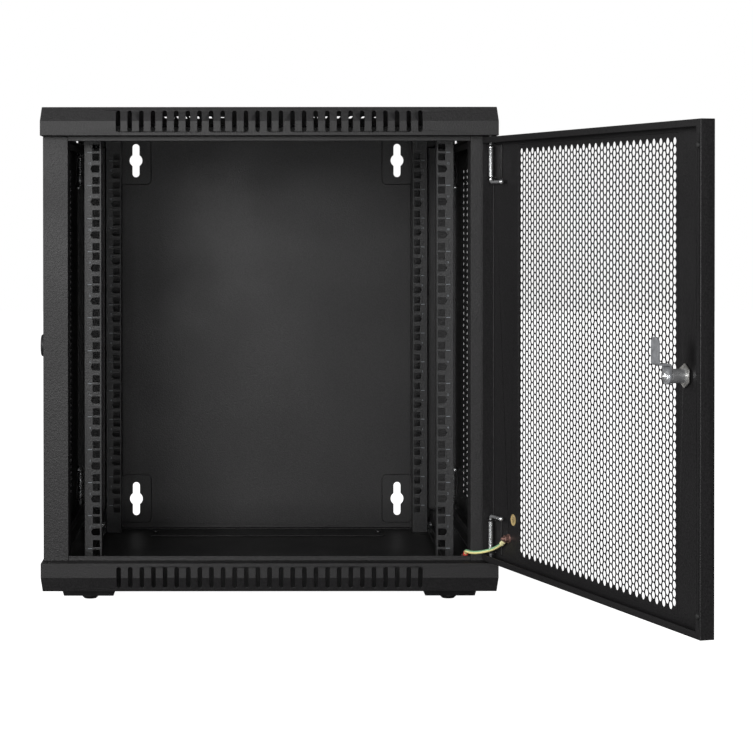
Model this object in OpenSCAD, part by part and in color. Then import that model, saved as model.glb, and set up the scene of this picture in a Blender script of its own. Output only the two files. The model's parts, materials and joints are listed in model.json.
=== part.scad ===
// Network cabinet for 19 inch equipment, with a vented front door and two vented side doors.
// Millimetres. +Z is up, the front faces -Y, and the origin is on the floor under the cabinet's middle.

/* [Cabinet] */
// Outside width over the covers
cab_w = 600; // [560:1:720]
// Outside depth over the covers
cab_d = 600; // [450:1:900]
// Height of the equipment space in rack units
rack_units = 12; // [6:1:18]
// Height from the base cover's underside to the bottom of the lowest rack unit
under_rack = 44.6; // [40:0.1:60]
// Height from the top of the highest rack unit to the roof
over_rack = 57; // [50:1:80]

/* [Sheet metal] */
// Thickness of the covers, posts and back panel
sheet = 1.5; // [1:0.1:2.5]
// Thickness of the doors
door_sheet = 1.2; // [0.8:0.1:2]
// Thickness of the rack rails and their bars
rail_sheet = 2; // [1.5:0.1:3]
// Plates that close the ends of the posts
end_plate = 3; // [2:0.5:5]

/* [Covers] */
// Height of a cover's fascia
cover_h = 37.5; // [32:0.5:60]
// Height of the fascia's upright band, up to its crease
crease_h = 19; // [15:0.5:22]
// How far the sloping band leans in at the front
lean_front = 5; // [1:0.5:10]
// How far the sloping band leans in at the sides
lean_side = 2.2; // [0.5:0.1:4]
// Depth of the ledge behind the front fascia, which carries the front posts
front_ledge = 62; // [50:1:90]
// Depth of the rear corner ledges, which carry the rear posts
rear_ledge = 40; // [36:1:60]
// Number of upright slots in each fascia
slot_count = 27; // [9:2:31]
// Distance between those slots
slot_pitch = 15.2; // [12:0.1:18]
// Width of a slot
slot_w = 5.4; // [3:0.1:8]
// Distance from the ends of a slot to the fascia's two edges
slot_edge = 5; // [4:0.5:8]

/* [Frame] */
// Width of a front post's face
post_w = 33; // [28:1:45]
// Depth of a front post
post_d = 40; // [32:1:60]
// How far the front posts stand behind the fascia
post_back = 22; // [21:0.5:30]
// Depth of the post's outer return, in front of the side door
post_return = 16; // [10:1:20]
// Width of a rear post
rear_post_w = 29; // [20:1:35]
// Depth of a rear post
rear_post_d = 24; // [16:1:32]
// Height of the front cross members
cross_h = 6.5; // [4:0.5:20]
// Depth of the front cross members
cross_d = 24; // [15:1:38]
// Height of the side bars
side_bar_h = 10; // [6:0.5:20]
// Width of the side bars
side_bar_w = 12; // [8:1:18]

/* [Rack rails] */
// Distance from the fascia to the front rails
rail_front = 86; // [80:1:150]
// Distance from the cabinet's back to the rear rails' faces
rail_rear = 57; // [50:1:120]
// Width of a rail's face
rail_face = 23.25; // [20:0.25:26]
// Depth of a rail's inner flange
rail_inner = 16; // [8:1:24]
// Depth of a rail's outer flange
rail_outer = 32; // [28:1:36]
// Side of a square rail hole
rail_hole = 9.5; // [8:0.1:10]
// Height of the bars that the rails are bolted to
bar_h = 17; // [14:1:20]
// Width of those bars' foot
bar_foot = 15; // [10:1:20]

/* [Front door] */
// Thickness of the front door
door_t = 17; // [14:0.5:18]
// Gap around the doors
door_gap = 2; // [1.5:0.1:4]
// Angle that the front door stands open at rest
door_open = 107; // [0:1:180]
// Distance from the fascia to the hinge axis
hinge_back = 9; // [8:0.5:11]
// Distance from the door's edge to the hinge axis
hinge_in = 7.5; // [6:0.5:9]
// Width of the lip along the free edge
free_lip = 11; // [6:1:20]
// Height of the lips along the top and bottom edges
end_lip = 8; // [4:1:16]
// Distance from the free edge to the lock
lock_in = 62; // [50:1:80]
// Upright distance between the perforation's holes
perf_pitch = 9.6; // [6:0.1:14]
// Columns of perforation
perf_cols = 51; // [21:2:61]
// Holes in each column
perf_rows = 54; // [20:1:60]
// Plain margin between the outermost holes' centres and the window's edge
perf_margin = 9; // [6:0.5:14]

/* [Side doors] */
// Thickness of a side door
side_t = 12; // [10:0.5:14]
// Distance from the fascia to a side door's front edge
side_front = 40; // [39.5:0.5:50]
// Distance from the cabinet's back to a side door's rear edge
side_rear = 5; // [3:0.5:10]
// Distance from the rear edge to the side door's hinge axis
side_hinge_in = 8; // [6:0.5:10]
// Distance from the fascia to a side door's lock
side_lock = 105; // [95:1:115]
// Columns of vent slots in a side door
vent_cols = 7; // [2:1:9]
// Rows of vent slots in a side door
vent_rows = 53; // [10:1:80]
// Distance between vent columns
vent_col_pitch = 55; // [50:1:70]
// Distance between vent rows
vent_row_pitch = 9.3; // [7:0.1:14]
// Length of a vent slot
vent_len = 15; // [12:1:48]
// Height of a vent slot
vent_h = 4; // [2:0.5:6]

/* [Hinge pins] */
// Diameter of a hinge pin
pin_d = 4; // [3:0.5:5]
// Radial clearance of a pin in its holes
pin_play = 0.1; // [0.05:0.01:0.2]
// How far a pin reaches past the door's end
pin_reach = 8; // [6:0.5:10]
// Distance from the door's end to the pin's handle
pin_handle = 59; // [55:1:70]
// Length of the pin's handle
handle_len = 34; // [24:1:44]
// Length of the spring
spring_len = 38; // [32:1:42]
// Outer diameter of the spring
spring_d = 6.2; // [5.5:0.1:7]

/* [Locks] */
// Diameter of a lock's barrel
barrel_d = 16; // [12:0.5:19]
// How far the barrel stands inside the door's skin
barrel_len = 22; // [18:1:26]
// Length of the front lock's cam from its axis
cam_len = 43; // [38:1:48]
// How far the front lock's cam is cranked inwards
cam_crank = 16; // [8:1:18]
// Length of a side lock's cam from its axis
side_cam_len = 49; // [46:1:54]
// Width of the front lock's cam
cam_w = 18; // [12:1:20]
// Width of a side lock's cam
side_cam_w = 11; // [8:1:14]
// Thickness of a cam
cam_t = 2; // [1.5:0.5:3]

/* [Wall and floor] */
// Distance between the keyholes' centres, across
key_w = 409.6; // [300:0.1:450]
// Height of the lower keyholes' centres above the base cover's underside
key_low = 48.5; // [45:0.5:70]
// Depth of the upper keyholes' centres below the roof
key_high = 55.5; // [45:0.5:80]
// Diameter of a keyhole's middle
key_d = 20; // [14:0.5:24]
// Width of a keyhole's slots
key_slot = 11; // [7:0.5:13]
// Full height of a keyhole
key_len = 52; // [40:1:56]
// Height of the feet
foot_h = 20; // [15:1:40]
// Distance from the cabinet's side to a foot's middle
foot_side = 60; // [50:1:90]
// Distance from the cabinet's front or back to a foot's middle
foot_end = 75; // [50:1:90]
// Side of a foot's square block
foot_w = 72; // [50:1:80]
// Height of that block
foot_block = 12; // [8:1:16]

/* [Roof and cables] */
// Distance between a fan's screw holes
fan_pitch = 105; // [71.5:0.5:105]
// Distance from the cabinet's middle to a fan's middle
fan_off = 110; // [75:1:130]
// Width of a cable entry
entry_w = 320; // [100:1:360]
// Depth of a cable entry
entry_d = 50; // [30:1:60]
// Distance from the cabinet's back to a cable entry's middle
entry_back = 60; // [50:1:90]

/* [Earth bond] */
// Distance from the hinge axis to the door's earth stud
stud_out = 44; // [36:1:60]
// Height of the door's earth stud above the base cover's underside
stud_up = 74; // [60:1:90]
// Diameter of the earth wire
wire_d = 4.4; // [2.5:0.1:4.8]

/* [Hidden] */
$fn = 48;
over = 1;

// Colours
powder_black = [0.09, 0.09, 0.095];
rail_black = [0.13, 0.13, 0.135];
plated = [0.78, 0.79, 0.8];
bronze = [0.42, 0.24, 0.18];
rubber_black = [0.03, 0.03, 0.03];
earth_yellow = [0.85, 0.72, 0.3];

// Rack standard: a rack unit, the holes in it, the distance between hole columns and the clear opening
unit = 44.45;
unit_holes = [6.35, 22.225, 38.1];
rack_holes = 465.1;
rack_clear = 450.5;

// Heights above the floor
z0 = foot_h;
cab_h = under_rack + rack_units * unit + over_rack;
z1 = z0 + cab_h;
rack_low = z0 + under_rack;
ledge_low = z0 + cover_h;
ledge_high = z1 - cover_h;
clear_h = ledge_high - ledge_low;
z_mid = (z0 + z1) / 2;

// The front and back of the cabinet, and the outside of its posts and doors
front = -cab_d / 2;
back = cab_d / 2;
post_x = cab_w / 2 - 2;

// Front door: x runs from the hinge axis towards the free edge, y from the axis inwards
door_w = 2 * post_x;
door_end = door_w - hinge_in;
door_low = ledge_low + door_gap;
door_high = ledge_high - door_gap;
door_face = hinge_back - 1;
door_inner = door_t - door_face;
hinge_x = post_x - hinge_in;
hinge_y = front + hinge_back;
perf_col_pitch = perf_pitch * cos(30);
perf_w = (perf_cols - 1) * perf_col_pitch;
perf_h = (perf_rows - 0.5) * perf_pitch;
perf_x = (door_end - hinge_in) / 2;

// Side doors
side_len = cab_d - side_front - side_rear;
side_hinge_x = post_x - side_t / 2;
side_hinge_y = back - side_rear - side_hinge_in;
rear_post_x = side_hinge_x - norm([side_t / 2, side_hinge_in]) - 2;
rebate_x = post_x - side_t - 1.5;
side_bar_x = rebate_x;

// Back panel
back_half = cab_w / 2 - sheet - lean_side - 0.3;

// Rack rails
rail_in = rack_clear / 2;
rail_out = rail_in + rail_face;
rail_gap = 1;
bar_slot_h = 8;
bolt_up = sheet + bar_h - 4 - bar_slot_h / 2;
bolt_d = 6;

// Hinge pins, measured from the end of the door that they lock
spring_end = pin_handle - 7;
collar_h = 1.5;
ear_t = 2;
ear_top = spring_end - spring_len - collar_h - ear_t - 0.2;
bracket_t = 1.5;
bracket_h = spring_end + ear_t;
bracket_reach = 23;
pin_bend = 4;

// Earth wire: the thickness of its lugs, and its points from the frame's lug to the door's lug
lug_t = 1.2;
wire_route = [[259.5, -271.5, 66.5], [259.5, -273.7, 68.7], [259.7, -276.9, 70.1], [261.1, -280.6, 70.3],
    [264.4, -283.3, 69.7], [269, -284.6, 69.3], [274, -286.4, 69.7], [278.8, -289.8, 70.8],
    [283.2, -294, 72.4], [287.3, -298.3, 74.2], [291.4, -302.5, 76.3], [295.2, -306.6, 78.8],
    [298.2, -310.5, 81.2], [300.3, -314, 83.3], [301.8, -317.9, 85.3]];
lug_barrel = 7;

module obround(length, width) {
    square([width, length - width], center = true);
    for (s = [-1, 1]) translate([0, s * (length - width) / 2]) circle(d = width);
}

module round_rect(width, height, radius) {
    square([width - 2 * radius, height], center = true);
    square([width, height - 2 * radius], center = true);
    for (x = [-1, 1]) for (y = [-1, 1])
        translate([x * (width / 2 - radius), y * (height / 2 - radius)]) circle(radius);
}

// Cuts a 2D shape, drawn in X and Z, along Y
module cut_y(y, depth) {
    translate([0, y + depth, 0]) rotate([90, 0, 0]) linear_extrude(depth) children();
}

// A mirrored copy for the left side, where the right side is drawn
module side(s) {
    scale([s, 1, 1]) children();
}

// One cover, drawn as the base: underside at z = 0, ledges at z = cover_h
module cover_shell() {
    half = cab_w / 2;
    difference() {
        hull() {
            translate([-half, front, cover_h - crease_h]) cube([cab_w, cab_d, crease_h]);
            translate([-half + lean_side, front + lean_front, 0])
                cube([cab_w - 2 * lean_side, cab_d - lean_front, 1]);
        }
        hull() {
            translate([-half + sheet, front + sheet, cover_h - crease_h])
                cube([cab_w - 2 * sheet, cab_d - sheet + over, crease_h - sheet]);
            translate([-half + sheet + lean_side, front + sheet + lean_front, sheet])
                cube([cab_w - 2 * (sheet + lean_side), cab_d - sheet - lean_front + over, 1]);
        }
        translate([-half + sheet, front + front_ledge, cover_h / 2])
            cube([cab_w - 2 * sheet, cab_d - front_ledge - rear_ledge, cover_h]);
        translate([-rear_post_inner(), front + front_ledge, cover_h / 2])
            cube([2 * rear_post_inner(), cab_d, cover_h]);
        cut_y(front - over, lean_front + sheet + 2 * over)
            for (i = [0:slot_count - 1])
                translate([(i - (slot_count - 1) / 2) * slot_pitch, cover_h / 2])
                    obround(cover_h - 2 * slot_edge, slot_w);
        for (s = [-1, 1]) {
            translate([s * hinge_x, hinge_y, cover_h / 2]) cylinder(d = pin_d + 2 * pin_play, h = cover_h);
            translate([s * side_hinge_x, side_hinge_y, cover_h / 2])
                cylinder(d = pin_d + 2 * pin_play, h = cover_h);
        }
        for (p = post_screws())
            translate([p[0], p[1], cover_h / 2]) cylinder(d = screw_d() + 0.4, h = cover_h);
        // Room for the back panel at the rear corners
        translate([-back_half - 0.15, back - sheet - 0.3, sheet])
            cube([2 * back_half + 0.3, sheet + 0.3 + over, cover_h]);
        translate([0, back - entry_back, -over]) linear_extrude(sheet + 2 * over)
            round_rect(entry_w, entry_d, 6);
        for (s = [-1, 1])
            translate([s * plate_screw_x(), back - entry_back, -over])
                cylinder(d = screw_d() + 0.4, h = sheet + 2 * over);
    }
}

function rear_post_inner() = rear_post_x - rear_post_w;
function screw_d() = 5;
function plate_screw_x() = entry_w / 2 + 12;
function post_screws() = [for (s = [-1, 1]) each [
    [s * (post_x - post_w * 0.7), front + post_back + post_d / 2],
    [s * (rear_post_x - rear_post_w / 2), post_rear_y() + rear_post_d / 2]]];
function post_rear_y() = back - rear_ledge + 2;

module base_cover() {
    color(powder_black) difference() {
        translate([0, 0, z0]) cover_shell();
        for (x = [-1, 1]) for (y = [-1, 1])
            translate([x * foot_x(), y * foot_y(), z0 - over])
                cylinder(d = foot_stud() + 0.4, h = sheet + 2 * over);
    }
}

module top_cover() {
    color(powder_black) difference() {
        translate([0, 0, z1]) mirror([0, 0, 1]) cover_shell();
        for (s = [-1, 1]) translate([s * fan_off, 0, z1 - sheet - over])
            linear_extrude(sheet + 2 * over) fan_grille();
    }
}

// The slots and the four screw holes of one roof fan
module fan_grille() {
    radius = fan_pitch / 2 + 2;
    pitch = 9;
    for (i = [-5:5]) translate([i * pitch, 0])
        obround(2 * sqrt(radius * radius - pow(i * pitch, 2)) - 6, 5);
    for (x = [-1, 1]) for (y = [-1, 1])
        translate([x * fan_pitch / 2, y * fan_pitch / 2]) circle(d = 4.5);
}

module back_panel() {
    low = z0 + sheet;
    high = z1 - sheet;
    flange = 14;
    pad = [key_slot + 33, key_len + 20];
    press = 2.5;
    color(powder_black) difference() {
        union() {
            translate([-back_half, back - sheet, low]) cube([2 * back_half, sheet, high - low]);
            for (z = [low, high - sheet]) translate([-back_half, back - flange, z])
                cube([2 * back_half, flange, sheet]);
            for (z = key_heights()) for (s = [-1, 1]) translate([s * key_w / 2, 0, z])
                cut_y(back - press - sheet, press + sheet)
                    round_rect(pad[0] + 2 * sheet, pad[1] + 2 * sheet, 7.5);
        }
        for (z = key_heights()) for (s = [-1, 1]) translate([s * key_w / 2, 0, z]) {
            cut_y(back - press, press + over) round_rect(pad[0], pad[1], 6);
            cut_y(back - 10, 10 + over) {
                obround(key_len, key_slot);
                circle(d = key_d);
            }
        }
        translate([key_w / 2 + 28, back - flange - over, low - over])
            cube([13, flange + 2 * over, 4.5 + over]);
    }
}

function key_heights() = [z0 + key_low, z1 - key_high];

// A front post, drawn on the right: a folded channel with a rebate for the side door
module front_post(s) {
    x_in = post_x - post_w;
    y = front + post_back;
    color(powder_black) side(s) difference() {
        translate([0, 0, ledge_low]) linear_extrude(clear_h) {
            translate([x_in, y]) square([post_w, sheet]);
            translate([x_in, y]) square([sheet, post_d]);
            translate([post_x - sheet, y]) square([sheet, post_return]);
            translate([rebate_x - sheet, y + post_return - sheet])
                square([post_x - rebate_x + sheet, sheet]);
            translate([rebate_x - sheet, y + post_return - sheet])
                square([sheet, post_d - post_return + sheet]);
        }
        // The slot in the inner return that the front lock's cam turns into
        translate([x_in - over, y + cam_slot_y(), z_mid - cam_w])
            cube([sheet + 2 * over, cam_t + 7, cam_w + cam_len]);
    }
}

// The plates inside the ends of the front posts that take their screws
module post_end_plates() {
    x_in = post_x - post_w + sheet;
    y = front + post_back + sheet;
    color(powder_black) for (s = [-1, 1]) side(s) difference() {
        for (z = [ledge_low, ledge_high - end_plate])
            translate([x_in, y, z])
                cube([rebate_x - sheet - x_in, post_d - sheet, end_plate]);
        for (p = post_screws()) if (p[0] > 0 && p[1] < 0)
            translate([p[0], p[1], ledge_low - over])
                cylinder(d = screw_d() + 0.1, h = clear_h + 2 * over);
    }
}

function cam_slot_y() = hinge_back - post_back - door_face + door_sheet + barrel_len + cam_crank - 2.5;

module rear_post(s) {
    x_in = rear_post_inner();
    color(powder_black) side(s) difference() {
        union() {
            translate([0, 0, ledge_low]) linear_extrude(clear_h) {
                translate([x_in, post_rear_y()]) square([rear_post_w, sheet]);
                translate([x_in, post_rear_y()]) square([sheet, rear_post_d]);
                translate([rear_post_x - sheet, post_rear_y()]) square([sheet, rear_post_d]);
            }
            for (z = [ledge_low, ledge_high - end_plate])
                translate([x_in, post_rear_y(), z]) cube([rear_post_w, rear_post_d, end_plate]);
        }
        for (p = post_screws()) if (p[0] > 0 && p[1] > 0)
            translate([p[0], p[1], ledge_low - over]) cylinder(d = screw_d() + 0.1, h = clear_h + 2 * over);
    }
}

// An angle that joins the two front posts; up is 1 for the bottom one and -1 for the top one
module cross_member(z, up) {
    length = 2 * (post_x - post_w);
    color(powder_black) translate([-length / 2, front + post_back, z]) scale([1, 1, up]) {
        cube([length, sheet, cross_h]);
        cube([length, cross_d, sheet]);
    }
}

// An angle that joins a front post to a rear post beside the doorway of a side door
module side_bar(s, z, up) {
    y = front + post_back + post_d;
    color(powder_black) side(s) translate([side_bar_x - side_bar_w, y, z]) scale([1, 1, up]) {
        translate([side_bar_w - sheet, 0, 0]) cube([sheet, post_rear_y() - y, side_bar_h]);
        cube([side_bar_w, post_rear_y() - y, sheet]);
    }
}

function rail_y(rear) = rear ? back - rail_rear : front + rail_front;

// A rack rail, drawn on the right, with the middle hole of each unit pointed towards its number
module rack_rail(s, rear) {
    low = z0 + sheet + rail_gap;
    length = cab_h - 2 * (sheet + rail_gap);
    hole_x = rack_holes / 2;
    y = rail_y(rear);
    color(rail_black) side(s) difference() {
        translate([rail_in, y, low]) linear_extrude(length) {
            square([rail_face, rail_sheet]);
            square([rail_sheet, rail_inner]);
            translate([rail_face - rail_sheet, 0]) square([rail_sheet, rail_outer]);
        }
        cut_y(y - over, rail_sheet + 2 * over) {
            for (u = [0:rack_units - 1]) for (k = [0:2])
                translate([hole_x, rack_low + u * unit + unit_holes[k]]) rail_opening(k == 1);
            for (z = [rack_low - unit + unit_holes[2], rack_low + rack_units * unit + unit_holes[0]])
                translate([hole_x, z]) rail_opening(false);
        }
        for (z = [z0 + bolt_up, z1 - bolt_up])
            translate([rail_out - rail_sheet - over, y + rail_bolt_y(), z])
                rotate([0, 90, 0]) cylinder(d = bolt_d + 0.4, h = rail_sheet + 2 * over);
    }
}

function rail_bolt_y() = rail_outer - 12;

module rail_opening(pointed) {
    half = rail_hole / 2;
    tip = pointed ? 2.6 : 0;
    polygon([[-half, -half], [half, -half], [half + tip, 0], [half, half], [-half, half]]);
}

// A bar along the floor or the roof that the rails are bolted to, slotted so that they can be moved
module rail_bar(s, z, up) {
    y0 = front + front_ledge + 2;
    length = cab_d - front_ledge - 18;
    slots = 3;
    web = 14;
    slot_len = (length - (slots + 1) * web) / slots;
    color(powder_black) side(s) translate([rail_out, y0, z]) scale([1, 1, up]) difference() {
        union() {
            cube([rail_sheet, length, bar_h]);
            cube([bar_foot, length, rail_sheet]);
        }
        for (i = [0:slots - 1])
            translate([-over, web + i * (slot_len + web), bolt_up - sheet - bar_slot_h / 2])
                cube([rail_sheet + 2 * over, slot_len, bar_slot_h]);
    }
}

// Bolt heads inside, nuts outside, one bolt at each end of each rail
module rail_bolts() {
    color(plated) for (s = [-1, 1]) for (rear = [false, true]) for (z = [z0 + bolt_up, z1 - bolt_up])
        side(s) translate([rail_out, rail_y(rear) + rail_bolt_y(), z]) rotate([0, 90, 0]) {
            translate([0, 0, -rail_sheet - 3.5]) cylinder(d = 12, h = 3.5);
            translate([0, 0, -rail_sheet - 1]) cylinder(d = bolt_d, h = 2 * rail_sheet + 7);
            translate([0, 0, rail_sheet]) cylinder(d = 11.5, h = 5, $fn = 6);
        }
}

// Screws that hold the posts on the ledges and the plates over the cable entries
module frame_screws() {
    color(rubber_black) {
        for (p = post_screws()) for (up = [0, 1])
            translate([p[0], p[1], up == 0 ? ledge_low : ledge_high]) mirror([0, 0, up]) {
                translate([0, 0, -sheet - 3]) cylinder(d = 9, h = 3);
                translate([0, 0, -sheet - 1]) cylinder(d = screw_d(), h = sheet + end_plate + 5);
            }
        for (s = [-1, 1]) for (up = [0, 1])
            translate([s * plate_screw_x(), back - entry_back, up == 0 ? z0 : z1]) mirror([0, 0, up]) {
                translate([0, 0, 2 * sheet]) cylinder(d = 9, h = 2.5);
                cylinder(d = screw_d(), h = 2 * sheet + 1);
            }
    }
}

// The plates that close the cable entries in the floor and the roof
module cable_plates() {
    color(powder_black) for (z = [z0 + sheet, z1 - 2 * sheet])
        translate([0, back - entry_back, z]) linear_extrude(sheet) difference() {
            round_rect(entry_w + 40, entry_d + 16, 4);
            for (s = [-1, 1]) translate([s * plate_screw_x(), 0]) circle(d = screw_d() + 0.4);
        }
}

function foot_x() = cab_w / 2 - foot_side;
function foot_y() = cab_d / 2 - foot_end;
function foot_stud() = 8;

module foot_blocks() {
    color(rubber_black) for (x = [-1, 1]) for (y = [-1, 1]) difference() {
        translate([x * foot_x(), y * foot_y(), z0 - foot_block])
            linear_extrude(foot_block, scale = foot_w / (foot_w - 6))
                square(foot_w - 6, center = true);
        translate([x * foot_x(), y * foot_y(), 0]) cylinder(d = foot_stud() + 0.2, h = z0 + over);
    }
}

// Pads whose studs screw through the blocks and end flush with the floor
module foot_pads() {
    radius = 11;
    rise = foot_h - foot_block;
    color(rubber_black) for (x = [-1, 1]) for (y = [-1, 1]) translate([x * foot_x(), y * foot_y(), 0]) {
        rotate_extrude() polygon([[0, 0], [radius - 3, 0], [radius, 3], [radius, rise], [0, rise]]);
        cylinder(d = foot_stud(), h = z0 + sheet);
    }
}

function earth_post_at() = [wire_route[0][0], wire_route[0][1] + 12.5];

// The stud beside the right front post, with its nut
module earth_post() {
    at = earth_post_at();
    color(bronze) translate([at[0], at[1], ledge_low + sheet]) {
        cylinder(d = 5, h = 9);
        translate([0, 0, lug_t + 0.1]) cylinder(d = 9, h = 3.5, $fn = 6);
    }
}

// A ring terminal round its stud, with its strap along +X
module ring_lug(strap) {
    difference() {
        union() {
            cylinder(d = 10, h = lug_t);
            translate([0, -lug_d() / 2, 0]) cube([strap, lug_d(), lug_t]);
        }
        translate([0, 0, -over]) cylinder(d = 5.2, h = lug_t + 2 * over);
    }
}

function lug_d() = wire_d + 2.2;

// The frame's lug, whose sleeved barrel slopes up and forwards from its strap
module earth_lug_frame() {
    at = earth_post_at();
    color("firebrick") translate([at[0], at[1], ledge_low + sheet]) rotate([0, 0, -90]) {
        ring_lug(9.5);
        translate([7.5, 0, 2.5]) rotate([0, 45, 0]) cylinder(d = lug_d(), h = lug_barrel);
    }
}

function unit_vector(v) = v / norm(v);
function tangent(i) = unit_vector(wire_route[min(i + 1, len(wire_route) - 1)] - wire_route[max(i - 1, 0)]);

// The earth wire as a tube along its route
module earth_wire() {
    sides = 8;
    last = len(wire_route) - 1;
    rings = [for (i = [0:last])
        let (t = tangent(i), a = unit_vector(cross(t, [0.3, 0.2, 1])), b = cross(t, a))
        for (k = [0:sides - 1]) wire_route[i]
            + wire_d / 2 * (cos(k * 360 / sides) * a + sin(k * 360 / sides) * b)];
    walls = [for (i = [0:last - 1]) for (k = [0:sides - 1])
        [i * sides + k, i * sides + (k + 1) % sides, (i + 1) * sides + (k + 1) % sides, (i + 1) * sides + k]];
    first_cap = [for (k = [0:sides - 1]) sides - 1 - k];
    last_cap = [for (k = [0:sides - 1]) last * sides + k];
    color(earth_yellow) polyhedron(rings, concat([first_cap, last_cap], walls));
}

// Places what is drawn with x from the hinge axis along the door and y from the axis inwards
module on_door() {
    translate([hinge_x, hinge_y, 0]) rotate([0, 0, door_open]) scale([-1, 1, 1]) children();
}

module door_skin() {
    color(powder_black) on_door() difference() {
        translate([-hinge_in, -door_face, door_low]) cube([door_w, door_t, door_high - door_low]);
        translate([-hinge_in + door_sheet, -door_face + door_sheet, door_low + door_sheet])
            cube([door_w - 2 * door_sheet, door_t - 2 * door_sheet, door_high - door_low - 2 * door_sheet]);
        translate([-hinge_in + door_sheet, 0, door_low + end_lip])
            cube([door_w - door_sheet - free_lip, door_t, door_high - door_low - 2 * end_lip]);
        translate([perf_x, 0, z_mid]) cut_y(-door_face - over, door_sheet + 2 * over)
            square([perf_w + 2 * perf_margin, perf_h + 2 * perf_margin], center = true);
        for (z = [door_low - over, door_high - end_lip])
            translate([0, 0, z]) cylinder(d = pin_d + 2 * pin_play, h = end_lip + over);
        translate([door_end - lock_in, 0, z_mid]) cut_y(-door_face - over, door_sheet + 2 * over)
            circle(d = barrel_d + 0.2);
        translate([stud_out, 0, z0 + stud_up])
            cut_y(-door_face - over, door_sheet + 2 * over) circle(d = 5.2);
        for (z = buffer_heights()) translate([door_end - free_lip / 2, 0, z])
            cut_y(door_inner - 2 * door_sheet, 2 * door_sheet + over) circle(d = 4.2);
    }
}

function buffer_heights() = [door_low + 25, door_high - 28];

// The perforated field of the door, flush with its skin
module door_mesh() {
    color(powder_black) on_door() translate([perf_x, 0, z_mid]) cut_y(-door_face, door_sheet)
        square([perf_w + 2 * perf_margin, perf_h + 2 * perf_margin], center = true);
}

// Rubber stops in the free edge's lip
module door_buffers() {
    color(rubber_black) on_door() for (z = buffer_heights())
        translate([door_end - free_lip / 2, door_inner, z]) rotate([90, 0, 0]) {
            translate([0, 0, -2]) cylinder(d = 7, h = 2);
            cylinder(d = 4, h = 4);
        }
}

// One hinge bracket: a plate with two ears, drawn under the end of a door that lies at z = 0.
// It reaches from the hinge axis by reach, stands on the skin at y = -skin, and has its edge at x = edge
module pin_bracket(skin, edge) {
    difference() {
        union() {
            translate([-edge, -skin, -bracket_h])
                cube([bracket_reach + edge, bracket_t, bracket_h - ear_top]);
            for (z = [-ear_top - ear_t, -bracket_h]) translate([-edge, -skin, z])
                cube([edge + pin_d / 2 + 2, skin + pin_d / 2 + 1.5, ear_t]);
        }
        translate([0, 0, -bracket_h - over]) cylinder(d = pin_d + 2 * pin_play, h = bracket_h);
        translate([0, 0, -spring_end]) cylinder(d = spring_d + 0.4, h = spring_end - ear_top - ear_t);
    }
}

// One hinge pin with its collar and bent handle, drawn under the end of a door that lies at z = 0
module hinge_pin() {
    translate([0, 0, -pin_handle + pin_bend]) {
        cylinder(d = pin_d, h = pin_handle - pin_bend + pin_reach - 1);
        translate([0, 0, pin_handle - pin_bend + pin_reach - 1])
            cylinder(d1 = pin_d, d2 = pin_d - 1.4, h = 1);
    }
    translate([0, 0, -spring_end + spring_len]) cylinder(d = spring_d - 0.6, h = collar_h);
    translate([pin_bend, 0, -pin_handle + pin_bend]) rotate([-90, 0, 0]) rotate([0, 0, 90])
        rotate_extrude(angle = 90) translate([pin_bend, 0]) circle(d = pin_d);
    translate([pin_bend, 0, -pin_handle]) rotate([0, 90, 0]) cylinder(d = pin_d, h = handle_len - pin_bend);
    translate([handle_len, 0, -pin_handle]) sphere(d = pin_d + 1.6);
}

// The space that a spring fills, which its coils share
module hinge_spring() {
    translate([0, 0, -spring_end]) difference() {
        cylinder(d = spring_d, h = spring_len);
        translate([0, 0, -over]) cylinder(d = spring_d - 1.6, h = spring_len + 2 * over);
    }
}

// Places what is drawn under a door's end at its top, or mirrored at its bottom
module at_ends(high, low, which = [0, 1]) {
    for (end = which) translate([0, 0, end == 1 ? high : low]) mirror([0, 0, 1 - end]) children();
}

module door_pin_brackets() {
    color(powder_black) on_door() at_ends(door_high, door_low)
        pin_bracket(door_face - door_sheet, hinge_in - door_sheet);
}

module door_pin(end) {
    color(plated) on_door() at_ends(door_high, door_low, [end]) hinge_pin();
}

module door_spring(end) {
    color(plated) on_door() at_ends(door_high, door_low, [end]) hinge_spring();
}

// A lock, drawn with y from the skin's outer face inwards: head, barrel, and flats for its nut
module lock_barrel(length) {
    rotate([-90, 0, 0]) difference() {
        union() {
            translate([0, 0, -4]) cylinder(d = barrel_d + 8, h = 4);
            cylinder(d = barrel_d, h = door_sheet + length);
        }
        translate([0, 0, -7]) cylinder(d = barrel_d - 4, h = door_sheet + length + 10);
    }
}

// The turning part of a lock: the plug with its key slot, its shank and the screw's end
module lock_plug(length) {
    end = door_sheet + length;
    rotate([-90, 0, 0]) difference() {
        union() {
            translate([0, 0, -3]) cylinder(d = barrel_d - 4.2, h = end + 3.2);
            translate([0, 0, end]) cylinder(d = 8, h = cam_t + 5);
            translate([0, 0, end + cam_t + 0.3]) cylinder(d = 11, h = 3, $fn = 6);
        }
        translate([-3.5, -0.7, -4]) cube([7, 1.4, 9]);
    }
}

module door_lock_barrel() {
    color(plated) on_door() translate([door_end - lock_in, -door_face, z_mid]) lock_barrel(barrel_len);
}

// The flat nut on the barrel, standing on a corner against the inside of the skin
module door_lock_nut() {
    color(plated) on_door() translate([door_end - lock_in, -door_face + door_sheet, z_mid])
        rotate([-90, 30, 0]) difference() {
            cylinder(d = 27, h = 3, $fn = 6);
            translate([0, 0, -over]) cylinder(d = barrel_d + 0.1, h = 5);
        }
}

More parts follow.
